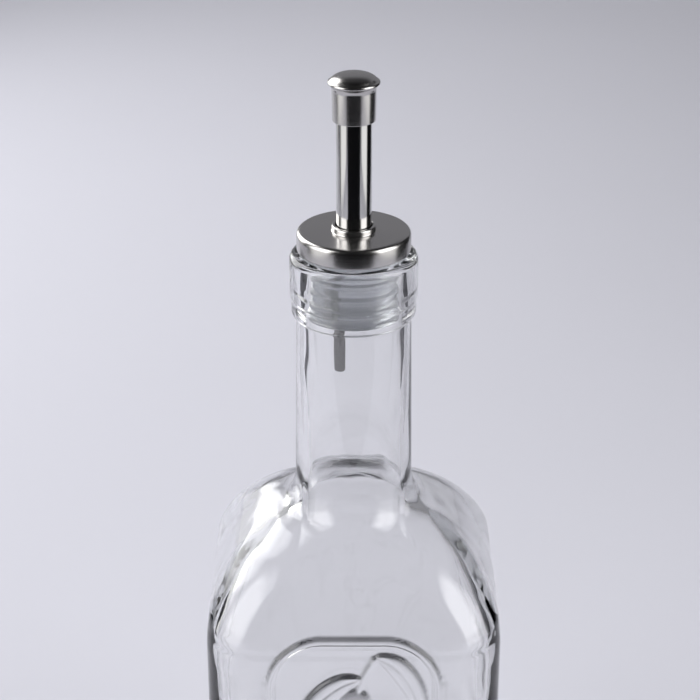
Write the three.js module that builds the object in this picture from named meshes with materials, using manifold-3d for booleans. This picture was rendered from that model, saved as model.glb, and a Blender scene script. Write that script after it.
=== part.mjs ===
// Glass oil cruet: a square bottle with a round neck, a ribbed stopper with a steel pourer, and a cap on its spout.
// Millimetres, +Z up, origin at the middle of the base, the moulded panel faces -Y.
import * as THREE from 'three';
import { LoftGeometry } from 'three/addons/geometries/LoftGeometry.js';
import { mergeVertices } from 'three/addons/utils/BufferGeometryUtils.js';
import Module from 'manifold-3d';

const wasm = await Module();
wasm.setup();

// Bottle body
const BODY_HALF = 36.6;
const BODY_CORNER = 15;
const BODY_WALL = 3.2;
const INNER_CORNER = 10;
const HEEL_RADIUS = 6.5;
const INNER_HEEL_RADIUS = 9;
const INNER_FLOOR = 8;
const BASE_BEARING = 5;
const PUNT_HALF = 18;
const PUNT_RISE = 2.2;
const WALL_TOP = 110.3;

// Bottle shoulder, a superellipse from the upright walls to the root of the neck
const SHOULDER_RISE = 23.7;
const SHOULDER_POWER = 1.36;
const SHOULDER_END_HALF = 20.5;
const SHOULDER_ROUNDING = 1.65;
const SHOULDER_INNER_DROP = 2.8;
const SHOULDER_STEPS = 9;

// Bottle neck and its two-tier finish ring
const NECK_ROOT_RADIUS = 14.5;
const NECK_ROOT_TOP = 143;
const NECK_TOP_RADIUS = 13.95;
const NECK_TOP = 184.4;
const BORE_RADIUS = 10.85;
const ROOT_STEPS = 5;
const RING_TIER_RADIUS = 15.05;
const RING_TIER_TOP = 189.6;
const RING_TIER_EDGE = 1.2;
const RING_TIER_FOOT = 186.4;
const RING_RADIUS = 15.4;
const RING_STEP = 0.7;
const LIP_TOP = 201;
const LIP_EDGE = 1.6;
const LIP_INNER_EDGE = 1.2;

// Fineness: each loop of the bottle is half a flat, a corner and half a flat, four times
const FLAT_STEPS = 2;
const CORNER_STEPS = 6;
const HEEL_STEPS = 4;
const EDGE_STEPS = 3;
const WIDE_SEGMENTS = 40;
const SLIM_SEGMENTS = 32;
const VENT_SEGMENTS = 12;
const MERGE_DISTANCE = 1e-3;

// Moulded panel on the front wall
const PANEL_HALF_WIDTH = 21.7;
const PANEL_BOTTOM = 13;
const PANEL_TOP = 115.4;
const PANEL_CORNER = 14;
const BEAD_WIDTH = 2.3;
const BEAD_HEIGHT = 1.2;
const BEAD_EDGE = 1.06;
const LEAF_HEIGHT = 1.1;
const LEAF_EDGE = 0.8;
const OLIVE_HEIGHT = 1.5;
const STEM_RADIUS = 0.9;
const RELIEF_EMBED = 1.2;

// Sprig of the panel: where each leaf leaves the stem, its size, direction and bow, then the olives
const LEAVES = [
  { across: 4.5, up: 110.2, length: 27, width: 5.4, degrees: -62.5, bow: 6.5 },
  { across: 2, up: 104, length: 28, width: 5.4, degrees: -131.4, bow: -5 },
  { across: 0.5, up: 84, length: 28.3, width: 5.2, degrees: -58, bow: 4 },
  { across: -0.5, up: 79, length: 27.5, width: 5.2, degrees: -123, bow: -4 },
  { across: 1.2, up: 60, length: 26.6, width: 5, degrees: -60, bow: 4 },
  { across: 0.8, up: 54, length: 26.2, width: 5, degrees: -123, bow: -4 },
  { across: -0.5, up: 39, length: 20, width: 4.2, degrees: -84, bow: 1 },
];
const LEAF_FULL_AT = 0.12;
const LEAF_TAPER_AT = 0.62;
const LEAF_TAPER = 0.5;
const OLIVES = [
  { across: -0.4, up: 96, halfWidth: 4.5, halfLength: 5.6, degrees: 8 },
  { across: 7, up: 64, halfWidth: 4.2, halfLength: 5.2, degrees: 25 },
  { across: -7, up: 59, halfWidth: 4.2, halfLength: 5.2, degrees: -20 },
  { across: 6.5, up: 41.5, halfWidth: 4, halfLength: 5, degrees: 20 },
];
const STEM_POINTS = [[5, 109.5], [1, 100], [-1, 80], [1.5, 58], [-0.5, 38]];

// Stopper
const STOPPER_CORE_RADIUS = 9.7;
const STOPPER_RIB_RADIUS = 10.5;
const STOPPER_BOTTOM = 185.4;
const STOPPER_RIBS = 4;
const STOPPER_RIB_PITCH = 3.4;
const STOPPER_RIB_THICKNESS = 1.1;
const STOPPER_RIB_SLOPE = 0.4;
const STOPPER_HEAD_RADIUS = 13.1;
const STOPPER_HEAD_THICKNESS = 0.8;

// Steel pourer
const SEAT_GAP = 0.1;
const FIT_GAP = 0.3;
const FLANGE_RADIUS = 13.65;
const FLANGE_HEIGHT = 4.7;
const FLANGE_EDGE = 1.6;
const COLLAR_RADIUS = 5.3;
const COLLAR_HEIGHT = 1.4;
const COLLAR_EDGE = 0.5;
const SPOUT_RADIUS = 4.2;
const SPOUT_BORE = 3.5;
const SPOUT_TOP = 241.2;
const CAP_BOTTOM = 233.9;
const CAP_FOOT_RADIUS = 5.07;
const CAP_NECK_RADIUS = 5.18;
const CAP_NECK_TOP = 241.5;
const CAP_RIM_RADIUS = 6.1;
const CAP_RIM_HEIGHT = 243;
const CAP_RIM_EDGE = 0.45;
const CAP_TOP = 245.2;
const CAP_DOME_FULLNESS = 0.8;
const VENT_OFFSET = -3.5;
const VENT_RADIUS = 1.2;
const VENT_BORE = 0.8;
const VENT_BOTTOM = 170.2;
const VENT_TOP = 193;

// Materials
const glass = new THREE.MeshStandardMaterial({
  color: 0xdfe2e6, roughness: 0.05, metalness: 0, transparent: true, opacity: 0.35,
});
const polishedSteel = new THREE.MeshStandardMaterial({ color: 0xb9babd, roughness: 0.15, metalness: 1 });
const satinSteel = new THREE.MeshStandardMaterial({ color: 0xa9aaac, roughness: 0.3, metalness: 1 });
const clearPlastic = new THREE.MeshStandardMaterial({ color: 0xc3c8d2, roughness: 0.4, metalness: 0 });

// Points of a circular arc in the radius and height plane, both ends included, angles in degrees
function arc(centreRadius, centreHeight, radius, fromDegrees, toDegrees, steps) {
  const points = [];
  for (let step = 0; step <= steps; step++) {
    const angle = THREE.MathUtils.degToRad(THREE.MathUtils.lerp(fromDegrees, toDegrees, step / steps));
    points.push(new THREE.Vector2(centreRadius + radius * Math.cos(angle), centreHeight + radius * Math.sin(angle)));
  }
  return points;
}

// Half width of the outer shoulder at a height, the full body below it
function shoulderHalf(height) {
  const rise = THREE.MathUtils.clamp((height - WALL_TOP) / SHOULDER_RISE, 0, 1);
  return NECK_ROOT_RADIUS + (BODY_HALF - NECK_ROOT_RADIUS) * Math.sqrt(1 - rise ** SHOULDER_POWER);
}

// Height of the outer shoulder where it has a half width
function shoulderHeight(half) {
  const share = (half - NECK_ROOT_RADIUS) / (BODY_HALF - NECK_ROOT_RADIUS);
  return WALL_TOP + SHOULDER_RISE * (1 - share ** 2) ** (1 / SHOULDER_POWER);
}

// The shoulder and the root of the neck from below, as half widths and heights, with the neck's radius at its end
function shoulderProfile(inset, drop, neckRadius) {
  const points = [];
  for (let step = 0; step <= SHOULDER_STEPS; step++) {
    const share = (SHOULDER_END_HALF - NECK_ROOT_RADIUS) / (BODY_HALF - NECK_ROOT_RADIUS);
    const angle = THREE.MathUtils.lerp(0, Math.acos(share), step / SHOULDER_STEPS);
    const half = NECK_ROOT_RADIUS + (BODY_HALF - NECK_ROOT_RADIUS) * Math.cos(angle);
    points.push(new THREE.Vector2(half - inset, shoulderHeight(half) - drop));
  }
  const foot = points.at(-1);
  const before = points.at(-2);
  const slope = (foot.y - before.y) / (before.x - foot.x);
  const bend = new THREE.Vector2(neckRadius, foot.y + (foot.x - neckRadius) * slope);
  const root = new THREE.QuadraticBezierCurve(foot, bend, new THREE.Vector2(neckRadius, NECK_ROOT_TOP - drop));
  return points.concat(root.getPoints(ROOT_STEPS).slice(1));
}

// How far a loop has turned from the square body to the round neck, 0 to 1
function roundness(half, widest, neckRadius) {
  const share = THREE.MathUtils.clamp((widest - half) / (widest - neckRadius), 0, 1);
  return share ** SHOULDER_ROUNDING;
}

// One closed loop: a rounded square of a half width, eased towards a circle, counterclockwise from above
function loop(half, height, round, widestCorner) {
  const corner = Math.min(widestCorner, half);
  const flat = half - corner;
  const quarterSteps = 2 * FLAT_STEPS + CORNER_STEPS;
  const points = [];
  for (let step = 0; step < 4 * quarterSteps; step++) {
    const along = step % quarterSteps;
    const turn = Math.floor(step / quarterSteps) * Math.PI / 2;
    const cornerShare = THREE.MathUtils.clamp((along - FLAT_STEPS) / CORNER_STEPS, 0, 1);
    const cornerAngle = cornerShare * Math.PI / 2;
    const firstFlat = Math.min(along / FLAT_STEPS, 1);
    const lastFlat = Math.min((quarterSteps - along) / FLAT_STEPS, 1);
    const square = new THREE.Vector2(
      flat * lastFlat + corner * Math.cos(cornerAngle),
      flat * firstFlat + corner * Math.sin(cornerAngle),
    );
    const circleAngle = along / quarterSteps * Math.PI / 2;
    const circle = new THREE.Vector2(half * Math.cos(circleAngle), half * Math.sin(circleAngle));
    const point = square.lerp(circle, round).rotateAround(new THREE.Vector2(), turn);
    points.push(new THREE.Vector3(point.x, point.y, height));
  }
  return points;
}

// The bottle without its relief: one skin from the punt, up the outside, over the lip and down the inside
function bottleShell() {
  const bearingOuter = BODY_HALF - HEEL_RADIUS;
  const innerHalf = BODY_HALF - BODY_WALL;
  const innerFloorHalf = innerHalf - INNER_HEEL_RADIUS;
  const squareLoops = (points, corner) => points.map((point) => loop(point.x, point.y, 0, corner));
  const roundLoops = (points) => points.map((point) => loop(point.x, point.y, 1, BODY_CORNER));
  const base = squareLoops([
    new THREE.Vector2(0, PUNT_RISE),
    new THREE.Vector2(PUNT_HALF, PUNT_RISE),
    new THREE.Vector2(bearingOuter - BASE_BEARING, 0),
    ...arc(bearingOuter, HEEL_RADIUS, HEEL_RADIUS, -90, 0, HEEL_STEPS),
  ], BODY_CORNER);
  const shoulder = shoulderProfile(0, 0, NECK_ROOT_RADIUS).map(
    (point) => loop(point.x, point.y, roundness(point.x, BODY_HALF, NECK_ROOT_RADIUS), BODY_CORNER),
  );
  const finish = roundLoops([
    new THREE.Vector2(NECK_TOP_RADIUS, NECK_TOP),
    ...arc(RING_TIER_RADIUS - RING_TIER_EDGE, RING_TIER_FOOT, RING_TIER_EDGE, -60, 0, EDGE_STEPS),
    new THREE.Vector2(RING_TIER_RADIUS, RING_TIER_TOP),
    new THREE.Vector2(RING_RADIUS, RING_TIER_TOP + RING_STEP),
    ...arc(RING_RADIUS - LIP_EDGE, LIP_TOP - LIP_EDGE, LIP_EDGE, 0, 90, EDGE_STEPS),
    ...arc(BORE_RADIUS + LIP_INNER_EDGE, LIP_TOP - LIP_INNER_EDGE, LIP_INNER_EDGE, 90, 180, EDGE_STEPS),
  ]);
  const innerShoulder = shoulderProfile(BODY_WALL, SHOULDER_INNER_DROP, BORE_RADIUS).reverse().map(
    (point) => loop(point.x, point.y, roundness(point.x, innerHalf, BORE_RADIUS), INNER_CORNER),
  );
  const innerHeel = squareLoops([
    ...arc(innerFloorHalf, INNER_FLOOR + INNER_HEEL_RADIUS, INNER_HEEL_RADIUS, 0, -90, HEEL_STEPS),
    new THREE.Vector2(0, INNER_FLOOR),
  ], INNER_CORNER);
  return new LoftGeometry([...base, ...shoulder, ...finish, ...innerShoulder, ...innerHeel]);
}

// Stands flat relief up on the front wall: local X is across, local Y up and local Z out of the glass
function onFrontWall(geometry) {
  geometry.rotateX(Math.PI / 2);
  const position = geometry.getAttribute('position');
  for (let index = 0; index < position.count; index++) {
    position.setY(index, position.getY(index) - shoulderHalf(position.getZ(index)));
  }
  return geometry;
}

// A flat outline raised from the wall with a rounded top edge
function raised(shape, height, edge, curveSegments) {
  const geometry = new THREE.ExtrudeGeometry(shape, {
    depth: RELIEF_EMBED, bevelEnabled: true, bevelThickness: height, bevelSize: edge, bevelOffset: -edge,
    bevelSegments: 2, curveSegments,
  });
  return onFrontWall(geometry.translate(0, 0, -RELIEF_EMBED));
}

// Rounded rectangle of the panel, drawn in from its outer edge by an inset
function panelOutline(path, inset) {
  const side = PANEL_HALF_WIDTH - inset;
  const bottom = PANEL_BOTTOM + inset;
  const top = PANEL_TOP - inset;
  const corner = PANEL_CORNER - inset;
  path.moveTo(side, bottom + corner);
  path.lineTo(side, top - corner);
  path.absarc(side - corner, top - corner, corner, 0, Math.PI / 2, false);
  path.absarc(corner - side, top - corner, corner, Math.PI / 2, Math.PI, false);
  path.absarc(corner - side, bottom + corner, corner, Math.PI, 1.5 * Math.PI, false);
  path.absarc(side - corner, bottom + corner, corner, 1.5 * Math.PI, 2 * Math.PI, false);
  return path;
}

// Raised bead round the panel
function panelBead() {
  const shape = panelOutline(new THREE.Shape(), 0);
  shape.holes.push(panelOutline(new THREE.Path(), BEAD_WIDTH));
  return raised(shape, BEAD_HEIGHT, BEAD_EDGE, 6);
}

// One leaf from its stalk to its tip, bowed to one side
function leaf({ across, up, length, width, degrees, bow }) {
  const shape = new THREE.Shape();
  shape.moveTo(0, 0);
  const full = LEAF_FULL_AT * length;
  const taper = LEAF_TAPER_AT * length;
  shape.bezierCurveTo(full, bow + width, taper, bow + LEAF_TAPER * width, length, 0);
  shape.bezierCurveTo(taper, bow - LEAF_TAPER * width, full, bow - width, 0, 0);
  const stalk = new THREE.Vector2(across, up);
  const outline = shape.getPoints(7).slice(0, -1).map(
    (point) => point.rotateAround(new THREE.Vector2(), THREE.MathUtils.degToRad(degrees)).add(stalk),
  );
  return raised(new THREE.Shape(outline), LEAF_HEIGHT, LEAF_EDGE, 1);
}

// One olive, a half sunk egg
function olive({ across, up, halfWidth, halfLength, degrees }) {
  const geometry = new THREE.SphereGeometry(1, 16, 10);
  geometry.scale(halfWidth, halfLength, OLIVE_HEIGHT);
  geometry.rotateZ(THREE.MathUtils.degToRad(degrees));
  return onFrontWall(geometry.translate(across, up, 0));
}

// Stem down the middle of the sprig
function stem() {
  const path = new THREE.CatmullRomCurve3(STEM_POINTS.map(([across, up]) => new THREE.Vector3(across, up, 0)));
  const ring = new THREE.Shape().absarc(0, 0, STEM_RADIUS, 0, 2 * Math.PI);
  return onFrontWall(new THREE.ExtrudeGeometry(ring, {
    steps: 16, curveSegments: 3, extrudePath: path, bevelEnabled: false,
  }));
}

// A geometry as a solid for joining and cutting
function toSolid(geometry) {
  const bare = new THREE.BufferGeometry();
  bare.setAttribute('position', geometry.getAttribute('position'));
  bare.setIndex(geometry.index);
  const merged = mergeVertices(bare, MERGE_DISTANCE);
  const triangles = [];
  for (let index = 0; index < merged.index.count; index += 3) {
    const [a, b, c] = merged.index.array.slice(index, index + 3);
    const collapsed = a === b || b === c || c === a;
    if (!collapsed) triangles.push(a, b, c);
  }
  return new wasm.Manifold(new wasm.Mesh({
    numProp: 3,
    vertProperties: merged.getAttribute('position').array,
    triVerts: new Uint32Array(triangles),
  }));
}

// A joined or cut solid back as a geometry
function toGeometry(solid) {
  const mesh = solid.getMesh();
  const geometry = new THREE.BufferGeometry();
  geometry.setAttribute('position', new THREE.BufferAttribute(mesh.vertProperties, 3));
  geometry.setIndex(new THREE.BufferAttribute(mesh.triVerts, 1));
  geometry.computeVertexNormals();
  return geometry;
}

// A turned piece from its profile of radii and heights, listed with the outside rising
function turned(profile, segments) {
  return new THREE.LatheGeometry(profile, segments).rotateX(Math.PI / 2);
}

// Tube between two heights
function tube(radius, bore, bottom, top, segments) {
  return turned([
    new THREE.Vector2(bore, bottom),
    new THREE.Vector2(radius, bottom),
    new THREE.Vector2(radius, top),
    new THREE.Vector2(bore, top),
    new THREE.Vector2(bore, bottom),
  ], segments);
}

function bottleGeometry() {
  const relief = [panelBead(), stem(), ...LEAVES.map(leaf), ...OLIVES.map(olive)];
  return toGeometry(relief.reduce((joined, piece) => joined.add(toSolid(piece)), toSolid(bottleShell())));
}

// Ribbed plug with a thin head on the lip and a socket for the vent tube
function stopperGeometry() {
  const headBottom = LIP_TOP + SEAT_GAP;
  const headTop = headBottom + STOPPER_HEAD_THICKNESS;
  const profile = [new THREE.Vector2(0, STOPPER_BOTTOM)];
  for (let rib = 0; rib < STOPPER_RIBS; rib++) {
    const foot = STOPPER_BOTTOM + rib * STOPPER_RIB_PITCH;
    profile.push(
      new THREE.Vector2(STOPPER_CORE_RADIUS, foot),
      new THREE.Vector2(STOPPER_RIB_RADIUS, foot + STOPPER_RIB_SLOPE),
      new THREE.Vector2(STOPPER_RIB_RADIUS, foot + STOPPER_RIB_THICKNESS),
      new THREE.Vector2(STOPPER_CORE_RADIUS, foot + STOPPER_RIB_THICKNESS + STOPPER_RIB_SLOPE),
    );
  }
  profile.push(
    new THREE.Vector2(STOPPER_CORE_RADIUS, headBottom),
    new THREE.Vector2(STOPPER_HEAD_RADIUS, headBottom),
    new THREE.Vector2(STOPPER_HEAD_RADIUS, headTop),
    new THREE.Vector2(0, headTop),
  );
  const socketRadius = VENT_RADIUS + FIT_GAP;
  const socketDepth = VENT_TOP + FIT_GAP - STOPPER_BOTTOM;
  const socket = new THREE.CylinderGeometry(socketRadius, socketRadius, 2 * socketDepth, VENT_SEGMENTS);
  socket.rotateX(Math.PI / 2).translate(VENT_OFFSET, 0, STOPPER_BOTTOM);
  return toGeometry(toSolid(turned(profile, WIDE_SEGMENTS)).subtract(toSolid(socket)));
}

const flangeBottom = LIP_TOP + 2 * SEAT_GAP + STOPPER_HEAD_THICKNESS;
const flangeTop = flangeBottom + FLANGE_HEIGHT;

// Steel disc that covers the stopper, with a collar round the spout
function flangeGeometry() {
  const hole = SPOUT_RADIUS + FIT_GAP;
  const collarTop = flangeTop + COLLAR_HEIGHT;
  return turned([
    new THREE.Vector2(hole, flangeBottom),
    new THREE.Vector2(FLANGE_RADIUS, flangeBottom),
    ...arc(FLANGE_RADIUS - FLANGE_EDGE, flangeTop - FLANGE_EDGE, FLANGE_EDGE, 0, 90, EDGE_STEPS),
    new THREE.Vector2(COLLAR_RADIUS, flangeTop),
    ...arc(COLLAR_RADIUS - COLLAR_EDGE, collarTop - COLLAR_EDGE, COLLAR_EDGE, 0, 90, EDGE_STEPS),
    new THREE.Vector2(hole, collarTop),
    new THREE.Vector2(hole, flangeBottom),
  ], WIDE_SEGMENTS);
}

// Cup over the end of the spout with a wider domed top
function capGeometry() {
  const inside = SPOUT_RADIUS + FIT_GAP;
  const ceiling = SPOUT_TOP + FIT_GAP;
  const rimFoot = CAP_RIM_HEIGHT - CAP_RIM_EDGE;
  const domeFoot = new THREE.Vector2(CAP_RIM_RADIUS - CAP_RIM_EDGE, CAP_RIM_HEIGHT + CAP_RIM_EDGE);
  const domeMiddle = new THREE.Vector2(CAP_DOME_FULLNESS * domeFoot.x, CAP_TOP);
  const dome = new THREE.QuadraticBezierCurve(domeFoot, domeMiddle, new THREE.Vector2(0, CAP_TOP)).getPoints(4);
  return turned([
    new THREE.Vector2(0, ceiling),
    new THREE.Vector2(inside, ceiling),
    new THREE.Vector2(inside, CAP_BOTTOM),
    new THREE.Vector2(CAP_FOOT_RADIUS, CAP_BOTTOM),
    new THREE.Vector2(CAP_NECK_RADIUS, CAP_NECK_TOP),
    new THREE.Vector2(CAP_RIM_RADIUS - CAP_RIM_EDGE, rimFoot),
    ...arc(CAP_RIM_RADIUS - CAP_RIM_EDGE, CAP_RIM_HEIGHT, CAP_RIM_EDGE, -60, 60, EDGE_STEPS),
    ...dome,
  ], SLIM_SEGMENTS);
}

function piece(name, geometry, material) {
  const mesh = new THREE.Mesh(geometry, material);
  mesh.name = name;
  return mesh;
}

const cruet = new THREE.Group();
const ventTube = piece('vent_tube', tube(VENT_RADIUS, VENT_BORE, VENT_BOTTOM, VENT_TOP, VENT_SEGMENTS), polishedSteel);
ventTube.position.x = VENT_OFFSET;
cruet.add(
  piece('bottle', bottleGeometry(), glass),
  piece('stopper', stopperGeometry(), clearPlastic),
  piece('pourer_flange', flangeGeometry(), satinSteel),
  piece('spout', tube(SPOUT_RADIUS, SPOUT_BORE, flangeBottom, SPOUT_TOP, SLIM_SEGMENTS), polishedSteel),
  piece('spout_cap', capGeometry(), satinSteel),
  ventTube,
);

export default cruet;
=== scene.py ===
"""Glass oil cruet: bottle, stopper and steel pourer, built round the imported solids, in metres."""
import math

import bpy
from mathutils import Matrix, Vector


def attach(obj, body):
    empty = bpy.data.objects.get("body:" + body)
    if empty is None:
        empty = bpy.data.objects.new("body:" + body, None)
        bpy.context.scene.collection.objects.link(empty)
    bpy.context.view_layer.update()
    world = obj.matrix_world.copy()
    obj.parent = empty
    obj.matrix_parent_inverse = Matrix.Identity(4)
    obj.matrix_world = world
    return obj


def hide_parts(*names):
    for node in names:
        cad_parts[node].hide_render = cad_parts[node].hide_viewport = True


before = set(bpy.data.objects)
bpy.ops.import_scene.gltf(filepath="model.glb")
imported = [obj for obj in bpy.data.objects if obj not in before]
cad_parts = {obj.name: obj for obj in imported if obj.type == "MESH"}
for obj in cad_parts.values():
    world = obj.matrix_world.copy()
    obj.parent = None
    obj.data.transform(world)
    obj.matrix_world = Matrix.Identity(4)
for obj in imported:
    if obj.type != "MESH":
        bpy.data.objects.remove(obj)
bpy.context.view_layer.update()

MM = 0.001

# Bottle body, in millimetres
BODY_HALF = 36.6
BODY_CORNER = 15.0
BODY_WALL = 3.2
INNER_CORNER = 10.0
HEEL_RADIUS = 6.5
INNER_HEEL_RADIUS = 9.0
INNER_FLOOR = 8.0
BASE_BEARING = 5.0
PUNT_RISE = 2.2
PUNT_FLAT = 18.0
WALL_TOP = 110.3

# Shoulder, a superellipse from the upright walls to the root of the neck
SHOULDER_RISE = 23.7
SHOULDER_POWER = 1.36
SHOULDER_END_HALF = 20.5
SHOULDER_ROUNDING = 1.65
SHOULDER_INNER_DROP = 2.8
SHOULDER_INNER_ROUNDING = 2.0
SHOULDER_INNER_END_HALF = 20.5
BORE_FOOT = 140.2
SHOULDER_EASE = 6.0
EASE_SAMPLES = 16

# Neck and its two-tier finish ring
NECK_ROOT_RADIUS = 14.5
NECK_ROOT_TOP = 143.0
NECK_TOP_RADIUS = 13.95
NECK_TOP = 184.4
BORE_RADIUS = 10.85
RING_TIER_RADIUS = 15.05
RING_TIER_FOOT = 185.2
RING_TIER_SLOPE = 0.3
RING_TIER_TOP = 189.6
RING_RADIUS = 15.4
RING_STEP = 0.7
LIP_TOP = 201.0
LIP_EDGE = 1.6
LIP_INNER_EDGE = 1.2

# Moulded panel on the front wall
PANEL_HALF_WIDTH = 21.7
PANEL_BOTTOM = 13.0
PANEL_TOP = 115.4
PANEL_CORNER = 14.0
PANEL_MARGIN = 1.0
BEAD_WIDTH = 2.3
BEAD_HEIGHT = 1.2
LEAF_HEIGHT = 1.1
MIDRIB_HALF = 0.5
MIDRIB_DEPTH = 0.3
OLIVE_HEIGHT = 1.5
STEM_RADIUS = 0.9
FRONT_WALL_REACH = 34.2

# Sprig: where each leaf leaves the stem (across, up), its length, half width, direction in degrees and bow
LEAVES = [
    (4.5, 110.2, 27.0, 5.4, -62.5, 6.5),
    (2.0, 104.0, 28.0, 5.4, -131.4, -5.0),
    (0.5, 84.0, 28.3, 5.2, -58.0, 4.0),
    (-0.5, 79.0, 27.5, 5.2, -123.0, -4.0),
    (1.2, 60.0, 26.6, 5.0, -60.0, 4.0),
    (0.8, 54.0, 26.2, 5.0, -123.0, -4.0),
    (-0.5, 39.0, 20.0, 4.2, -84.0, 1.0),
]
LEAF_FULL_AT = 0.12
LEAF_TAPER_AT = 0.62
LEAF_TAPER = 0.5

# Olives: middle (across, up), half width, half length and lean in degrees
OLIVES = [
    (-0.4, 96.0, 4.5, 5.6, 8.0),
    (7.0, 64.0, 4.2, 5.2, 25.0),
    (-7.0, 59.0, 4.2, 5.2, -20.0),
    (6.5, 41.5, 4.0, 5.0, 20.0),
]
STEM_POINTS = [(5.0, 109.5), (1.0, 100.0), (-1.0, 80.0), (1.5, 58.0), (-0.5, 38.0)]

# Unevenness of the blown inside and of the moulded outside
INNER_WAVE = 0.3
OUTER_WAVE = 0.03
WAVE_LENGTH = 16.0
WAVE_UPRIGHT_SHARE = 0.4

# Stopper
STOPPER_CORE_RADIUS = 9.7
STOPPER_RIB_RADIUS = 10.5
STOPPER_BOTTOM = 185.4
STOPPER_RIBS = 4
STOPPER_RIB_PITCH = 3.4
STOPPER_RIB_THICKNESS = 1.1
STOPPER_RIB_SLOPE = 0.4
STOPPER_HEAD_RADIUS = 13.1
STOPPER_HEAD_BOTTOM = 201.1
STOPPER_HEAD_TOP = 201.9

# Steel pourer
FIT_GAP = 0.3
FLANGE_RADIUS = 13.65
FLANGE_BOTTOM = 202.0
FLANGE_TOP = 206.7
FLANGE_EDGE = 1.3
COLLAR_RADIUS = 5.3
COLLAR_TOP = 208.1
COLLAR_EDGE = 0.55
SPOUT_RADIUS = 4.2
SPOUT_BORE = 3.5
SPOUT_TOP = 241.2
CAP_BOTTOM = 233.9
CAP_FOOT_RADIUS = 5.07
CAP_NECK_RADIUS = 5.18
CAP_NECK_TOP = 241.5
CAP_RIM_RADIUS = 6.1
CAP_RIM_HEIGHT = 243.0
CAP_RIM_EDGE = 0.45
CAP_TOP = 245.2
CAP_DOME_FULLNESS = 0.8
VENT_OFFSET = -3.5
VENT_RADIUS = 1.2
VENT_BORE = 0.8
VENT_BOTTOM = 170.2
VENT_TOP = 193.0

# Fineness of the meshes
FRONT_FLAT_STEPS = 54
PLAIN_FLAT_STEPS = 7
CORNER_STEPS = 18
PANEL_STEP = 0.4
LOW_PANEL_STEP = 0.8
FINE_PANEL_BOTTOM = 88.0
TURNED_SEGMENTS = 96
EDGE_STEPS = 5
LEAF_STEPS = 100
OLIVE_STEPS = 60
STEM_STEPS = 80
BEAD_CORNER_STEPS = 60
BEAD_SPACING = 0.25
WELD = 0.001

# Sizes of the patterns in the materials
GLASS_RIPPLE = 9.0
STEEL_LINE = 0.25
STEEL_PATCH = 6.0
PLASTIC_CLOUD = 3.0
PAPER_PATCH = 300.0

# Studio, in metres
CARD_CORNERS = [(-1, -1), (1, -1), (1, 1), (-1, 1)]
FLOOR_HALF = 4.0
FLOOR_HEIGHT = -0.0005
SHADE_FULL_RADIUS = 0.045
SHADE_END_RADIUS = 0.11
SHADE_DEPTH = 0.72
FILL_SIZE = 2.6
FILL_RADIANCE = 1.55
FILL_PLACE = (-0.9, 0.9, 2.2)

# Camera of the photograph, in degrees, metres and millimetres of lens
CAMERA_ELEVATION = 25.7
CAMERA_DISTANCE = 0.474
CAMERA_AIM = (-0.0009, 0.0, 0.175)
CAMERA_LENS = 100.0


def linear(hex_colour):
    """An sRGB hex colour as linear RGBA."""
    channels = [int(hex_colour[index:index + 2], 16) / 255 for index in (1, 3, 5)]
    return [c / 12.92 if c <= 0.04045 else ((c + 0.055) / 1.055) ** 2.4 for c in channels] + [1.0]


def add(tree, kind, settings=(), inputs=()):
    """Adds one node, sets its properties, and gives each input a value or another node's output."""
    node = tree.nodes.new(kind)
    for name, value in dict(settings).items():
        setattr(node, name, value)
    for key, value in dict(inputs).items():
        if isinstance(value, bpy.types.NodeSocket):
            tree.links.new(value, node.inputs[key])
        else:
            node.inputs[key].default_value = value
    return node


def new_tree(name, inputs):
    """A geometry tree with named inputs, and its input and output nodes."""
    tree = bpy.data.node_groups.new(name, "GeometryNodeTree")
    for label, kind in inputs:
        tree.interface.new_socket(label, in_out="INPUT", socket_type=kind)
    tree.interface.new_socket("Geometry", in_out="OUTPUT", socket_type="NodeSocketGeometry")
    return tree, add(tree, "NodeGroupInput").outputs


def grown(name, tree, values):
    """A plain mesh object made by a geometry tree."""
    made = bpy.data.objects.new(name, bpy.data.meshes.new(name + "_start"))
    bpy.context.scene.collection.objects.link(made)
    modifier = made.modifiers.new(name, "NODES")
    modifier.node_group = tree
    sockets = [item for item in tree.interface.items_tree if item.in_out == "INPUT"]
    identifiers = {socket.name: socket.identifier for socket in sockets}
    for label, value in values.items():
        modifier[identifiers[label]] = value
    depsgraph = bpy.context.evaluated_depsgraph_get()
    mesh = bpy.data.meshes.new_from_object(made.evaluated_get(depsgraph), depsgraph=depsgraph)
    made.modifiers.remove(modifier)
    made.data = mesh
    return made


def guide(name, points, attributes=()):
    """A set of points in metres, given in millimetres, with vectors stored on them, that a tree reads."""
    mesh = bpy.data.meshes.new(name)
    mesh.from_pydata([Vector(point) * MM for point in points], [], [])
    for label, vectors in dict(attributes).items():
        stored = mesh.attributes.new(label, "FLOAT_VECTOR", "POINT")
        stored.data.foreach_set("vector", [number for vector in vectors for number in vector])
    made = bpy.data.objects.new(name, mesh)
    bpy.context.scene.collection.objects.link(made)
    return made


def lerp(start, end, share):
    """The value a share of the way from start to end."""
    return start + (end - start) * share


def arc(centre_radius, centre_height, radius, start, end, steps):
    """Points of a circular arc, both ends included, angles in degrees."""
    angles = [math.radians(lerp(start, end, step / steps)) for step in range(steps + 1)]
    return [(centre_radius + radius * math.cos(a), centre_height + radius * math.sin(a)) for a in angles]


def bezier(points, share):
    """A point on the Bezier curve of any number of control points."""
    while len(points) > 1:
        pairs = zip(points, points[1:])
        points = [tuple(lerp(a, b, share) for a, b in zip(first, last)) for first, last in pairs]
    return points[0]


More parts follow.
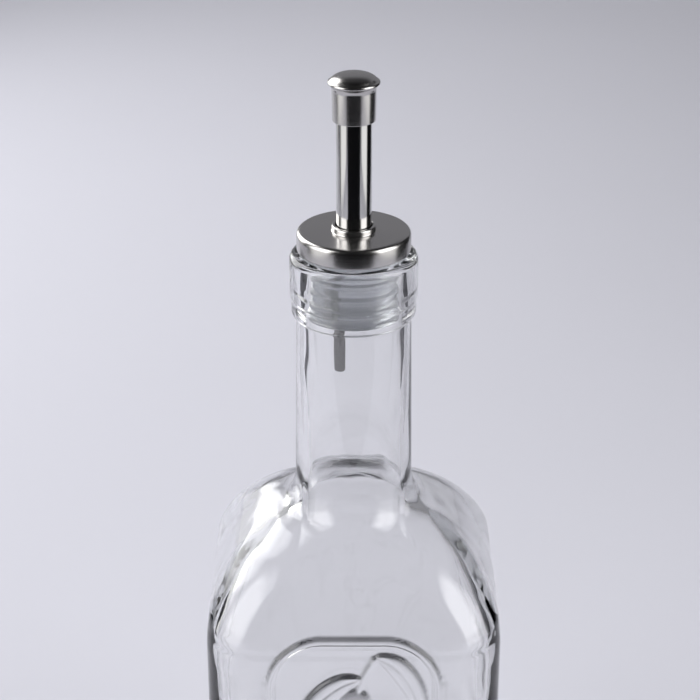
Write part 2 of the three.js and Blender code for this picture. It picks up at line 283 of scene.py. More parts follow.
def rounded(corners):
    """A profile from corners of (radius, height, rounding), each rounded corner as a short curve."""
    points = []
    for index, (radius, height, rounding) in enumerate(corners):
        corner = Vector((radius, height))
        if not rounding:
            points.append(tuple(corner))
            continue
        before = Vector(corners[index - 1][:2]) - corner
        after = Vector(corners[index + 1][:2]) - corner
        ends = [corner + before.normalized() * rounding, corner + after.normalized() * rounding]
        curve = [tuple(ends[0]), tuple(corner), tuple(ends[1])]
        points += [bezier(curve, step / EDGE_STEPS) for step in range(EDGE_STEPS + 1)]
    return points


def dress(tree, geometry, material):
    """Ends a tree: smooth shading, the material and the output."""
    smooth = add(tree, "GeometryNodeSetShadeSmooth", inputs={"Geometry": geometry}).outputs[0]
    real = add(tree, "GeometryNodeRealizeInstances", inputs={"Geometry": smooth}).outputs[0]
    dressed = add(tree, "GeometryNodeSetMaterial", inputs={"Geometry": real, "Material": material})
    add(tree, "NodeGroupOutput", inputs={0: dressed.outputs[0]})


def turned_tree():
    """Turns a profile of radii and heights round an upright axis."""
    tree, given = new_tree("turned_piece", [
        ("Profile", "NodeSocketObject"), ("Segments", "NodeSocketInt"),
        ("Offset", "NodeSocketFloat"), ("Material", "NodeSocketMaterial"),
    ])
    profile = add(tree, "GeometryNodeObjectInfo", inputs={0: given["Profile"]}).outputs["Geometry"]
    rows = add(tree, "GeometryNodeAttributeDomainSize", inputs={0: profile}).outputs["Point Count"]
    columns = add(tree, "ShaderNodeMath", {"operation": "ADD"}, {0: given["Segments"], 1: 1.0}).outputs[0]
    grid = add(tree, "GeometryNodeMeshGrid",
               inputs={"Vertices X": columns, "Vertices Y": rows}).outputs["Mesh"]
    index = add(tree, "GeometryNodeInputIndex").outputs[0]
    row = add(tree, "ShaderNodeMath", {"operation": "MODULO"}, {0: index, 1: rows}).outputs[0]
    share = add(tree, "ShaderNodeMath", {"operation": "DIVIDE"}, {0: index, 1: rows}).outputs[0]
    column = add(tree, "ShaderNodeMath", {"operation": "FLOOR"}, {0: share}).outputs[0]
    turn = add(tree, "ShaderNodeMath", {"operation": "DIVIDE"}, {0: column, 1: given["Segments"]}).outputs[0]
    angle = add(tree, "ShaderNodeMath", {"operation": "MULTIPLY"}, {0: turn, 1: math.tau}).outputs[0]
    place = add(tree, "GeometryNodeInputPosition").outputs[0]
    point = add(tree, "GeometryNodeSampleIndex", {"data_type": "FLOAT_VECTOR"},
                {"Geometry": profile, "Value": place, "Index": row}).outputs[0]
    swung = add(tree, "ShaderNodeVectorRotate", {"rotation_type": "Z_AXIS"},
                {"Vector": point, "Angle": angle}).outputs[0]
    shift = add(tree, "ShaderNodeCombineXYZ", inputs={"X": given["Offset"]}).outputs[0]
    moved = add(tree, "GeometryNodeSetPosition",
                inputs={"Geometry": grid, "Position": swung, "Offset": shift}).outputs[0]
    closed = add(tree, "GeometryNodeMergeByDistance",
                 inputs={"Geometry": moved, "Distance": WELD * MM}).outputs[0]
    dress(tree, closed, given["Material"])
    return tree


def lofted_skin(tree, given):
    """The bottle without relief: rows run along the profile and columns round the section."""
    section = add(tree, "GeometryNodeObjectInfo", inputs={0: given["Section"]}).outputs["Geometry"]
    profile = add(tree, "GeometryNodeObjectInfo", inputs={0: given["Profile"]}).outputs["Geometry"]
    rows = add(tree, "GeometryNodeAttributeDomainSize", inputs={0: profile}).outputs["Point Count"]
    loop = add(tree, "GeometryNodeAttributeDomainSize", inputs={0: section}).outputs["Point Count"]
    columns = add(tree, "ShaderNodeMath", {"operation": "ADD"}, {0: loop, 1: 1.0}).outputs[0]
    grid = add(tree, "GeometryNodeMeshGrid",
               inputs={"Vertices X": columns, "Vertices Y": rows}).outputs["Mesh"]
    index = add(tree, "GeometryNodeInputIndex").outputs[0]
    row = add(tree, "ShaderNodeMath", {"operation": "MODULO"}, {0: index, 1: rows}).outputs[0]
    share = add(tree, "ShaderNodeMath", {"operation": "DIVIDE"}, {0: index, 1: rows}).outputs[0]
    counted = add(tree, "ShaderNodeMath", {"operation": "FLOOR"}, {0: share}).outputs[0]
    column = add(tree, "ShaderNodeMath", {"operation": "MODULO"}, {0: counted, 1: loop}).outputs[0]
    sources = [
        ("flat", section, column), ("corner", section, column), ("circle", section, column),
        ("size", profile, row), ("skin", profile, row),
    ]
    sampled = {}
    for label, geometry, where in sources:
        stored = add(tree, "GeometryNodeInputNamedAttribute", {"data_type": "FLOAT_VECTOR"}, {"Name": label})
        sampled[label] = add(tree, "GeometryNodeSampleIndex", {"data_type": "FLOAT_VECTOR"},
                             {"Geometry": geometry, "Value": stored.outputs[0], "Index": where}).outputs[0]

    # Each loop is a rounded square that turns to a circle
    size = add(tree, "ShaderNodeSeparateXYZ", inputs={0: sampled["size"]}).outputs
    half, turned, height = size["X"], size["Y"], size["Z"]
    skin = add(tree, "ShaderNodeSeparateXYZ", inputs={0: sampled["skin"]}).outputs
    corner = add(tree, "ShaderNodeMath", {"operation": "MINIMUM"}, {0: half, 1: skin["Z"]}).outputs[0]
    flat = add(tree, "ShaderNodeMath", {"operation": "SUBTRACT"}, {0: half, 1: corner}).outputs[0]
    scaled = {}
    for label, factor in (("flat", flat), ("corner", corner), ("circle", half)):
        scaled[label] = add(tree, "ShaderNodeVectorMath", {"operation": "SCALE"},
                            {0: sampled[label], "Scale": factor}).outputs[0]
    square = add(tree, "ShaderNodeVectorMath", {"operation": "ADD"},
                 {0: scaled["flat"], 1: scaled["corner"]}).outputs[0]
    loops = add(tree, "ShaderNodeMix", {"data_type": "VECTOR"},
                {0: turned, 4: square, 5: scaled["circle"]}).outputs[1]
    lift = add(tree, "ShaderNodeCombineXYZ", inputs={"Z": height}).outputs[0]
    loft = add(tree, "GeometryNodeSetPosition",
               inputs={"Geometry": grid, "Position": loops, "Offset": lift}).outputs[0]
    skinned = add(tree, "GeometryNodeStoreNamedAttribute", {"data_type": "FLOAT_VECTOR"},
                  {"Geometry": loft, "Name": "skin", "Value": sampled["skin"]}).outputs[0]
    return add(tree, "GeometryNodeMergeByDistance",
               inputs={"Geometry": skinned, "Distance": WELD * MM}).outputs[0]


def relief_height(tree, given, strokes, place, on_panel):
    """Height of the relief: the highest of the strokes that pass near, each domed across its width."""
    relief = 0.0
    for label, _, power, fullness, grooved in strokes:
        stroke = add(tree, "GeometryNodeObjectInfo", inputs={0: given[label]}).outputs["Geometry"]
        nearest = add(tree, "GeometryNodeSampleNearest",
                      inputs={"Geometry": stroke, "Sample Position": on_panel}).outputs[0]
        middle = add(tree, "GeometryNodeSampleIndex", {"data_type": "FLOAT_VECTOR"},
                     {"Geometry": stroke, "Value": place, "Index": nearest}).outputs[0]
        stored = add(tree, "GeometryNodeInputNamedAttribute", {"data_type": "FLOAT_VECTOR"},
                     {"Name": "stroke"})
        width_height = add(tree, "GeometryNodeSampleIndex", {"data_type": "FLOAT_VECTOR"},
                           {"Geometry": stroke, "Value": stored.outputs[0], "Index": nearest}).outputs[0]
        across = add(tree, "ShaderNodeSeparateXYZ", inputs={0: width_height}).outputs
        away = add(tree, "ShaderNodeVectorMath", {"operation": "DISTANCE"},
                   {0: on_panel, 1: middle}).outputs["Value"]
        reach = add(tree, "ShaderNodeMath", {"operation": "DIVIDE", "use_clamp": True},
                    {0: away, 1: across["X"]}).outputs[0]
        fall = add(tree, "ShaderNodeMath", {"operation": "POWER"}, {0: reach, 1: power}).outputs[0]
        left = add(tree, "ShaderNodeMath", {"operation": "SUBTRACT"}, {0: 1.0, 1: fall}).outputs[0]
        dome = add(tree, "ShaderNodeMath", {"operation": "POWER"}, {0: left, 1: fullness}).outputs[0]
        raised = add(tree, "ShaderNodeMath", {"operation": "MULTIPLY"}, {0: dome, 1: across["Y"]}).outputs[0]
        if grooved:
            near = add(tree, "ShaderNodeMath", {"operation": "DIVIDE", "use_clamp": True},
                       {0: away, 1: given["Midrib Half"]}).outputs[0]
            inside = add(tree, "ShaderNodeMath", {"operation": "SUBTRACT"}, {0: 1.0, 1: near}).outputs[0]
            groove = add(tree, "ShaderNodeMath", {"operation": "MULTIPLY"},
                         {0: inside, 1: given["Midrib Depth"]}).outputs[0]
            cut = add(tree, "ShaderNodeMath", {"operation": "SUBTRACT"}, {0: raised, 1: groove}).outputs[0]
            raised = add(tree, "ShaderNodeMath", {"operation": "MAXIMUM"}, {0: cut, 1: 0.0}).outputs[0]
        relief = add(tree, "ShaderNodeMath", {"operation": "MAXIMUM"}, {0: relief, 1: raised}).outputs[0]
    return relief


def bottle_tree(strokes):
    """Lofts the bottle, raises the panel along drawn strokes, and makes the inside uneven."""
    objects = ["Section", "Profile"] + [label for label, *_ in strokes]
    numbers = ["Front Reach", "Midrib Half", "Midrib Depth", "Inner Wave", "Outer Wave", "Wave Scale"]
    tree, given = new_tree("moulded_bottle", [
        *((label, "NodeSocketObject") for label in objects),
        *((label, "NodeSocketFloat") for label in numbers),
        ("Material", "NodeSocketMaterial"),
    ])
    closed = lofted_skin(tree, given)

    # Relief pushed out of the front wall
    place = add(tree, "GeometryNodeInputPosition").outputs[0]
    axes = add(tree, "ShaderNodeSeparateXYZ", inputs={0: place}).outputs
    on_panel = add(tree, "ShaderNodeCombineXYZ", inputs={"X": axes["X"], "Z": axes["Z"]}).outputs[0]
    relief = relief_height(tree, given, strokes, place, on_panel)
    front = add(tree, "FunctionNodeCompare", {"data_type": "FLOAT", "operation": "LESS_THAN"},
                {0: axes["Y"], 1: given["Front Reach"]}).outputs[0]
    outward = add(tree, "ShaderNodeMath", {"operation": "MULTIPLY"}, {0: relief, 1: -1.0}).outputs[0]
    push = add(tree, "ShaderNodeCombineXYZ", inputs={"Y": outward}).outputs[0]
    panelled = add(tree, "GeometryNodeSetPosition",
                   inputs={"Geometry": closed, "Selection": front, "Offset": push}).outputs[0]

    # Unevenness along the normal, deeper on the inside, always towards the glass
    stored = add(tree, "GeometryNodeInputNamedAttribute", {"data_type": "FLOAT_VECTOR"}, {"Name": "skin"})
    skin = add(tree, "ShaderNodeSeparateXYZ", inputs={0: stored.outputs[0]}).outputs
    depth = add(tree, "ShaderNodeMix", {"data_type": "FLOAT"},
                {0: skin["X"], 2: given["Outer Wave"], 3: given["Inner Wave"]}).outputs[0]
    allowed = add(tree, "ShaderNodeMath", {"operation": "MULTIPLY"}, {0: depth, 1: skin["Y"]}).outputs[0]
    stretched = add(tree, "ShaderNodeVectorMath", {"operation": "MULTIPLY"},
                    {0: place, 1: (1.0, 1.0, WAVE_UPRIGHT_SHARE)}).outputs[0]
    noise = add(tree, "ShaderNodeTexNoise",
                inputs={"Vector": stretched, "Scale": given["Wave Scale"], "Detail": 2.0}).outputs[0]
    swing = add(tree, "ShaderNodeMapRange", inputs={0: noise, 1: 0.25, 2: 0.75, 3: -2.0, 4: 0.0}).outputs[0]
    bulge = add(tree, "ShaderNodeMath", {"operation": "MULTIPLY"}, {0: swing, 1: allowed}).outputs[0]
    normal = add(tree, "GeometryNodeInputNormal").outputs[0]
    ripple = add(tree, "ShaderNodeVectorMath", {"operation": "SCALE"}, {0: normal, "Scale": bulge}).outputs[0]
    uneven = add(tree, "GeometryNodeSetPosition", inputs={"Geometry": panelled, "Offset": ripple}).outputs[0]
    dress(tree, uneven, given["Material"])
    return tree


def section_guide():
    """One loop of the bottle: each column's place on the flats, turn at the corner and place on a circle."""
    flats, corners, circles = [], [], []
    flat_steps = [(PLAIN_FLAT_STEPS, PLAIN_FLAT_STEPS), (PLAIN_FLAT_STEPS, PLAIN_FLAT_STEPS),
                  (PLAIN_FLAT_STEPS, FRONT_FLAT_STEPS), (FRONT_FLAT_STEPS, PLAIN_FLAT_STEPS)]
    for quarter, (first_steps, last_steps) in enumerate(flat_steps):
        turn = quarter * math.pi / 2
        total = first_steps + CORNER_STEPS + last_steps
        for step in range(total):
            first = min(step / first_steps, 1.0)
            last = min((total - step) / last_steps, 1.0)
            bend = min(max((step - first_steps) / CORNER_STEPS, 0.0), 1.0) * math.pi / 2
            swing = turn + step / total * math.pi / 2
            flats.append((last * math.cos(turn) - first * math.sin(turn),
                          last * math.sin(turn) + first * math.cos(turn), 0.0))
            corners.append((math.cos(turn + bend), math.sin(turn + bend), 0.0))
            circles.append((math.cos(swing), math.sin(swing), 0.0))
    return guide("section_guide", flats, {"flat": flats, "corner": corners, "circle": circles})


def shoulder_half(height):
    """Half width of the outer shoulder at a height."""
    rise = min(max((height - WALL_TOP) / SHOULDER_RISE, 0.0), 1.0)
    return NECK_ROOT_RADIUS + (BODY_HALF - NECK_ROOT_RADIUS) * math.sqrt(1 - rise ** SHOULDER_POWER)


def shoulder_height(half):
    """Height of the outer shoulder where it has a half width."""
    share = (half - NECK_ROOT_RADIUS) / (BODY_HALF - NECK_ROOT_RADIUS)
    return WALL_TOP + SHOULDER_RISE * (1 - share ** 2) ** (1 / SHOULDER_POWER)


def eased_half(height, end):
    """Half width with the bend above the upright wall eased, and untouched at the end height."""
    reach = SHOULDER_EASE * min(max((end - height) / (end - WALL_TOP), 0.0), 1.0)
    shifts = [lerp(-reach, reach, step / EASE_SAMPLES) for step in range(EASE_SAMPLES + 1)]
    return sum(shoulder_half(height + shift) for shift in shifts) / len(shifts)


def shoulder_rows(start_half, end_half, steps):
    """Outer shoulder from one half width to another."""
    span = BODY_HALF - NECK_ROOT_RADIUS
    start = math.acos((start_half - NECK_ROOT_RADIUS) / span)
    end = math.acos((end_half - NECK_ROOT_RADIUS) / span)
    angles = [lerp(start, end, step / steps) for step in range(steps + 1)]
    halves = [NECK_ROOT_RADIUS + span * math.cos(angle) for angle in angles]
    return [(half, shoulder_height(half)) for half in halves]


def root_rows(foot, before, neck_radius, top, steps):
    """Curve from the end of the shoulder up into the neck."""
    slope = (foot[1] - before[1]) / (before[0] - foot[0])
    bend = (neck_radius, foot[1] + (foot[0] - neck_radius) * slope)
    return [bezier([foot, bend, (neck_radius, top)], step / steps) for step in range(1, steps + 1)]


def line(start, end, steps):
    """Points between two points, without the first."""
    return [tuple(lerp(a, b, step / steps) for a, b in zip(start, end)) for step in range(1, steps + 1)]


def roundness(half, widest, neck_radius, rounding):
    """How far a loop has turned from the square body to the round neck, 0 to 1."""
    return min(max((widest - half) / (widest - neck_radius), 0.0), 1.0) ** rounding


def bottle_profile_guide():
    """The bottle's skin from the punt, up the outside, over the lip and down the inside."""
    # Each row: half width, roundness, height, 1 on the inside, 1 where the skin is uneven
    rows = []
    bearing = BODY_HALF - HEEL_RADIUS
    bearing_start = bearing - BASE_BEARING
    base = [(0.0, PUNT_RISE)]
    base += line((0.0, PUNT_RISE), (PUNT_FLAT, PUNT_RISE), 3)
    base += line((PUNT_FLAT, PUNT_RISE), (bearing_start, 0.0), 4)
    base += line((bearing_start, 0.0), (bearing, 0.0), 1)
    base += arc(bearing, HEEL_RADIUS, HEEL_RADIUS, -90, 0, 10)[1:]
    panel_start = PANEL_BOTTOM - PANEL_MARGIN
    panel_end = PANEL_TOP + PANEL_MARGIN
    wall_end = WALL_TOP - SHOULDER_EASE
    low_steps = round((FINE_PANEL_BOTTOM - PANEL_BOTTOM) / LOW_PANEL_STEP)
    fine_steps = round((wall_end - FINE_PANEL_BOTTOM) / PANEL_STEP)
    wall = line((BODY_HALF, HEEL_RADIUS), (BODY_HALF, panel_start), 3)
    wall += line((BODY_HALF, panel_start), (BODY_HALF, FINE_PANEL_BOTTOM), low_steps)
    wall += line((BODY_HALF, FINE_PANEL_BOTTOM), (BODY_HALF, wall_end), fine_steps)
    panel_steps = round((panel_end - wall_end) / PANEL_STEP)
    heights = [lerp(wall_end, panel_end, step / panel_steps) for step in range(1, panel_steps + 1)]
    bend = [(eased_half(height, panel_end), height) for height in heights]
    shoulder = bend + shoulder_rows(bend[-1][0], SHOULDER_END_HALF, 20)[1:]
    shoulder += root_rows(shoulder[-1], shoulder[-2], NECK_ROOT_RADIUS, NECK_ROOT_TOP, 8)
    rows += [(half, 0.0, height, 0.0, 0.0) for half, height in base]
    rows += [(half, 0.0, height, 0.0, 1.0) for half, height in wall]
    for half, height in shoulder:
        turned = roundness(half, BODY_HALF, NECK_ROOT_RADIUS, SHOULDER_ROUNDING)
        rows.append((half, turned, height, 0.0, 1.0))

    finish = line((NECK_ROOT_RADIUS, NECK_ROOT_TOP), (NECK_TOP_RADIUS, NECK_TOP), 12)
    finish += rounded([
        (NECK_TOP_RADIUS, NECK_TOP, 0),
        (NECK_TOP_RADIUS, RING_TIER_FOOT, 0.6),
        (RING_TIER_RADIUS, RING_TIER_FOOT + RING_TIER_SLOPE, 0.9),
        (RING_TIER_RADIUS, RING_TIER_TOP, 0.3),
        (RING_RADIUS, RING_TIER_TOP + RING_STEP, 0.3),
        (RING_RADIUS, LIP_TOP - LIP_EDGE, 0),
    ])[1:]
    finish += arc(RING_RADIUS - LIP_EDGE, LIP_TOP - LIP_EDGE, LIP_EDGE, 0, 90, 8)[1:]
    finish += arc(BORE_RADIUS + LIP_INNER_EDGE, LIP_TOP - LIP_INNER_EDGE, LIP_INNER_EDGE, 90, 180, 7)
    rows += [(half, 1.0, height, 0.0, 0.0) for half, height in finish]

    inner_half = BODY_HALF - BODY_WALL
    under = bend + shoulder_rows(bend[-1][0], SHOULDER_INNER_END_HALF, 22)[1:]
    inner = [(half - BODY_WALL, height - SHOULDER_INNER_DROP) for half, height in under]
    inner += root_rows(inner[-1], inner[-2], BORE_RADIUS, BORE_FOOT, 8)
    bore = line(finish[-1], (BORE_RADIUS, BORE_FOOT), 56)[:-1]
    rows += [(half, 1.0, height, 1.0, 1.0) for half, height in bore]
    for half, height in reversed(inner):
        turned = roundness(half, inner_half, BORE_RADIUS, SHOULDER_INNER_ROUNDING)
        rows.append((half, turned, height, 1.0, 1.0))
    heel_top = INNER_FLOOR + INNER_HEEL_RADIUS
    floor_half = inner_half - INNER_HEEL_RADIUS
    below = line(inner[0], (inner_half, heel_top), 56)
    below += arc(floor_half, heel_top, INNER_HEEL_RADIUS, 0, -90, 9)[1:]
    below += line((floor_half, INNER_FLOOR), (0.0, INNER_FLOOR), 6)
    rows += [(half, 0.0, height, 1.0, 1.0) for half, height in below]
    points = [(row[0], 0.0, row[2]) for row in rows]
    sizes = [(row[0] * MM, row[1], row[2] * MM) for row in rows]
    skins = [(row[3], row[4], lerp(BODY_CORNER, INNER_CORNER, row[3]) * MM) for row in rows]
    return guide("bottle_profile_guide", points, {"size": sizes, "skin": skins})


def leaf_stroke(across, up, length, width, degrees, bow):
    """A leaf's midrib, with its half width and height at each point."""
    turn = math.radians(degrees)
    points, strokes = [], []
    for step in range(1, LEAF_STEPS):
        share = step / LEAF_STEPS
        early = 3 * (1 - share) ** 2 * share
        late = 3 * (1 - share) * share ** 2
        along = (early * LEAF_FULL_AT + late * LEAF_TAPER_AT + share ** 3) * length
        aside = (early + late) * bow
        half = (early + late * LEAF_TAPER) * width
        points.append((across + along * math.cos(turn) - aside * math.sin(turn), 0.0,
                       up + along * math.sin(turn) + aside * math.cos(turn)))
        strokes.append((half * MM, LEAF_HEIGHT * min(half, 1.0) * MM, 0.0))
    return points, strokes


def olive_stroke(across, up, half_width, half_length, degrees):
    """An olive's long axis, with the half width and height of an egg at each point."""
    lean = math.radians(degrees)
    points, strokes = [], []
    for step in range(1, OLIVE_STEPS):
        along = lerp(-1, 1, step / OLIVE_STEPS)
        swell = math.sqrt(1 - along ** 2)
        points.append((across + along * half_length * math.sin(lean), 0.0,
                       up + along * half_length * math.cos(lean)))
        strokes.append((half_width * swell * MM, OLIVE_HEIGHT * swell * MM, 0.0))
    return points, strokes


def stem_stroke():
    """The stem, a smooth line through its points."""
    points = []
    ends = [STEM_POINTS[0]] + STEM_POINTS + [STEM_POINTS[-1]]
    for first, start, end, last in zip(ends, ends[1:], ends[2:], ends[3:]):
        leave = tuple(a + (c - b) / 6 for a, b, c in zip(start, first, end))
        arrive = tuple(a - (c - b) / 6 for a, b, c in zip(end, start, last))
        points += [bezier([start, leave, arrive, end], step / STEM_STEPS) for step in range(STEM_STEPS)]
    return [(x, 0.0, z) for x, z in points], [(STEM_RADIUS * MM, STEM_RADIUS * MM, 0.0)] * len(points)


def bead_stroke():
    """The middle of the bead round the panel."""
    inset = BEAD_WIDTH / 2
    corner = PANEL_CORNER - inset
    aside = PANEL_HALF_WIDTH - inset - corner
    top = PANEL_TOP - inset - corner
    bottom = PANEL_BOTTOM + inset + corner
    outline = []
    for quarter, (across, up) in enumerate([(aside, top), (-aside, top), (-aside, bottom), (aside, bottom)]):
        outline += arc(across, up, corner, 90 * quarter, 90 * quarter + 90, BEAD_CORNER_STEPS)
    points = []
    for start, end in zip(outline, outline[1:] + outline[:1]):
        steps = max(round(math.dist(start, end) / BEAD_SPACING), 1)
        points += line(start, end, steps)
    return [(x, 0.0, z) for x, z in points], [(inset * MM, BEAD_HEIGHT * MM, 0.0)] * len(points)


def stroke_guide(name, drawings):
    """All strokes of one kind as one set of points."""
    points = [point for places, _ in drawings for point in places]
    sizes = [size for _, widths in drawings for size in widths]
    return guide(name, points, {"stroke": sizes})


def new_material(name):
    """A material with its tree, its surface shader and its object coordinates."""
    material = bpy.data.materials.new(name)
    material.use_nodes = True
    tree = material.node_tree
    tree.nodes.clear()
    surface = add(tree, "ShaderNodeBsdfPrincipled")
    add(tree, "ShaderNodeOutputMaterial", inputs={"Surface": surface.outputs[0]})
    return material, tree, surface, add(tree, "ShaderNodeTexCoord").outputs["Object"]


def clear_soda_glass():
    """Moulded soda glass: clear and fire polished, with faint chill ripples from the mould."""
    material, tree, surface, place = new_material("clear_soda_glass")
    surface.inputs["Base Color"].default_value = linear("#FFFFFF")
    surface.inputs["Roughness"].default_value = 0.0
    surface.inputs["IOR"].default_value = 1.52
    surface.inputs["Transmission Weight"].default_value = 1.0
    ripple = add(tree, "ShaderNodeTexNoise",
                 inputs={"Vector": place, "Scale": 1 / (GLASS_RIPPLE * MM), "Detail": 1.0}).outputs[0]
    bump = add(tree, "ShaderNodeBump", inputs={"Height": ripple, "Strength": 0.25, "Distance": 0.05 * MM})
    tree.links.new(bump.outputs[0], surface.inputs["Normal"])
    depth = add(tree, "ShaderNodeVolumeAbsorption", inputs={"Color": linear("#B4B8B8"), "Density": 16.0})
    tree.links.new(depth.outputs[0], tree.nodes["Material Output"].inputs["Volume"])
    return material


def stainless_steel(name, colour, low_rough, high_rough, turned):
    """Stainless steel: fine lines round a turned piece or along a drawn tube, seen as bands of gloss."""
    material, tree, surface, place = new_material(name)
    surface.inputs["Metallic"].default_value = 1.0
    axes = add(tree, "ShaderNodeSeparateXYZ", inputs={0: place}).outputs
    level = add(tree, "ShaderNodeCombineXYZ", inputs={"X": axes["X"], "Y": axes["Y"]}).outputs[0]
    radius = add(tree, "ShaderNodeVectorMath", {"operation": "LENGTH"}, {0: level}).outputs["Value"]
    rings = add(tree, "ShaderNodeCombineXYZ", inputs={"X": radius, "Z": axes["Z"]}).outputs[0]

    # Real lines are finer than these, which are as coarse as they need to be to show
    lines = add(tree, "ShaderNodeTexNoise",
                inputs={"Vector": rings if turned else level, "Scale": 1 / (STEEL_LINE * MM),
                        "Detail": 2.0}).outputs[0]
    rough = add(tree, "ShaderNodeMapRange",
                inputs={0: lines, 1: 0.3, 2: 0.7, 3: low_rough, 4: high_rough}).outputs[0]
    tree.links.new(rough, surface.inputs["Roughness"])
    patch = add(tree, "ShaderNodeTexNoise",
                inputs={"Vector": place, "Scale": 1 / (STEEL_PATCH * MM), "Detail": 2.0}).outputs[0]
    darker = [channel * 0.92 for channel in linear(colour)[:3]] + [1.0]
    tint = add(tree, "ShaderNodeMix", {"data_type": "RGBA"},
               {0: patch, 6: linear(colour), 7: darker}).outputs[2]
    tree.links.new(tint, surface.inputs["Base Color"])
    bump = add(tree, "ShaderNodeBump", inputs={"Height": lines, "Strength": 0.1, "Distance": 0.003 * MM})
    tree.links.new(bump.outputs[0], surface.inputs["Normal"])
    return material


def frosted_plastic():
    """Soft moulded polyethylene: cloudy and see-through, so what is behind it blurs."""
    material, tree, surface, place = new_material("frosted_polyethylene")
    surface.inputs["IOR"].default_value = 1.51
    surface.inputs["Transmission Weight"].default_value = 0.75
    cloud = add(tree, "ShaderNodeTexNoise",
                inputs={"Vector": place, "Scale": 1 / (PLASTIC_CLOUD * MM), "Detail": 2.0}).outputs[0]
    tint = add(tree, "ShaderNodeMix", {"data_type": "RGBA"},
               {0: cloud, 6: linear("#F3F7FF"), 7: linear("#FCFDFF")}).outputs[2]
    tree.links.new(tint, surface.inputs["Base Color"])
    rough = add(tree, "ShaderNodeMapRange", inputs={0: cloud, 1: 0.3, 2: 0.7, 3: 0.2, 4: 0.26}).outputs[0]
    tree.links.new(rough, surface.inputs["Roughness"])
    return material


def card(name, corners, material):
    """A flat card of the studio, hidden from the camera and casting no shadow."""
    mesh = bpy.data.meshes.new(name)
    mesh.from_pydata(corners, [], [(0, 1, 2, 3)])
    mesh.materials.append(material)
    made = bpy.data.objects.new(name, mesh)
    bpy.context.scene.collection.objects.link(made)
    made.visible_camera = False
    made.visible_shadow = False
    return made


def dull_card(name, colour):
    """Card with no gloss, which glass and steel show as a dark shape."""
    material, _, surface, _ = new_material(name)
    surface.inputs["Base Color"].default_value = linear(colour)
    surface.inputs["Roughness"].default_value = 1.0
    surface.inputs["Specular IOR Level"].default_value = 0.0
    return material


def soft_box_cloth(name, width, height, radiance, foot):
    """Lit cloth of a soft box: full in the middle, fading to its sides and top, and dimmer at its foot."""
    material = bpy.data.materials.new(name)
    material.use_nodes = True
    tree = material.node_tree
    tree.nodes.clear()
    place = add(tree, "ShaderNodeTexCoord").outputs["Object"]
    axes = add(tree, "ShaderNodeSeparateXYZ", inputs={0: place}).outputs
    aside = add(tree, "ShaderNodeMath", {"operation": "ABSOLUTE"}, {0: axes["X"]}).outputs[0]

    # Each fade: what it runs along, where it starts and ends, and the share of the light at both
    fades = [
        (aside, 0.22 * width, 0.5 * width, 1.0, 0.0),
        (axes["Y"], 0.15 * height, 0.5 * height, 1.0, 0.0),
        (axes["Y"], 0.14 - 0.5 * height, 0.22 - 0.5 * height, foot, 1.0),
    ]
    glow = radiance
    for along, start, end, near, far in fades:
        fade = add(tree, "ShaderNodeMapRange", {"interpolation_type": "SMOOTHSTEP"},
                   {0: along, 1: start, 2: end, 3: near, 4: far}).outputs[0]
        glow = add(tree, "ShaderNodeMath", {"operation": "MULTIPLY"}, {0: glow, 1: fade}).outputs[0]
    lit = add(tree, "ShaderNodeEmission", inputs={"Strength": glow})
    add(tree, "ShaderNodeOutputMaterial", inputs={"Surface": lit.outputs[0]})
    return material


def pale_floor():
    """Floor of pale matt paper, with a soft shade round the bottle that its glass shows as dark lines."""
    material, tree, surface, place = new_material("pale_floor_paper")
    surface.inputs["Roughness"].default_value = 0.9
    surface.inputs["Specular IOR Level"].default_value = 0.1
    grain = add(tree, "ShaderNodeTexNoise",
                inputs={"Vector": place, "Scale": 1 / (PAPER_PATCH * MM), "Detail": 2.0}).outputs[0]
    tint = add(tree, "ShaderNodeMix", {"data_type": "RGBA"},
               {0: grain, 6: linear("#C9C9D2"), 7: linear("#CDCDD6")}).outputs[2]
    away = add(tree, "ShaderNodeVectorMath", {"operation": "LENGTH"}, {0: place}).outputs["Value"]
    shade = add(tree, "ShaderNodeMapRange", {"interpolation_type": "SMOOTHSTEP"},
                {0: away, 1: SHADE_FULL_RADIUS, 2: SHADE_END_RADIUS, 3: SHADE_DEPTH, 4: 0.0}).outputs[0]
    shaded = add(tree, "ShaderNodeMix", {"data_type": "RGBA"},
                 {0: shade, 6: tint, 7: linear("#2A2A2E")}).outputs[2]
    tree.links.new(shaded, surface.inputs["Base Color"])
    corners = [(x * FLOOR_HALF, y * FLOOR_HALF, FLOOR_HEIGHT) for x, y in CARD_CORNERS]
    floor = card("floor", corners, material)
    floor.visible_camera = True
    floor.visible_shadow = True


def dark_cards():
    """Cards that glass and steel show as dark shapes. Only the small flags are seen through the glass."""
    black = dull_card("black_card", "#101012")
    grey = dull_card("dark_grey_card", "#4A4A4E")

    # Upright cards: where each starts and ends on the floor plan, and its lower and upper edge
    uprights = {
        "front_card": ((-0.25, -0.30), (0.25, -0.30), 0.001, 0.6),
        "side_card": ((0.40, 0.02), (0.40, 0.45), 0.001, 0.6),
        "left_flag": ((-0.20, 0.09), (-0.20, 0.19), 0.045, 0.10),
        "right_flag": ((0.20, 0.09), (0.20, 0.19), 0.045, 0.10),
    }
    for name, (start, end, low, high) in uprights.items():
        corners = [(*start, low), (*end, low), (*end, high), (*start, high)]
        seen_through = name.endswith("flag")
        flag = card(name, corners, grey if seen_through else black)
        flag.visible_transmission = seen_through
        flag.visible_diffuse = False


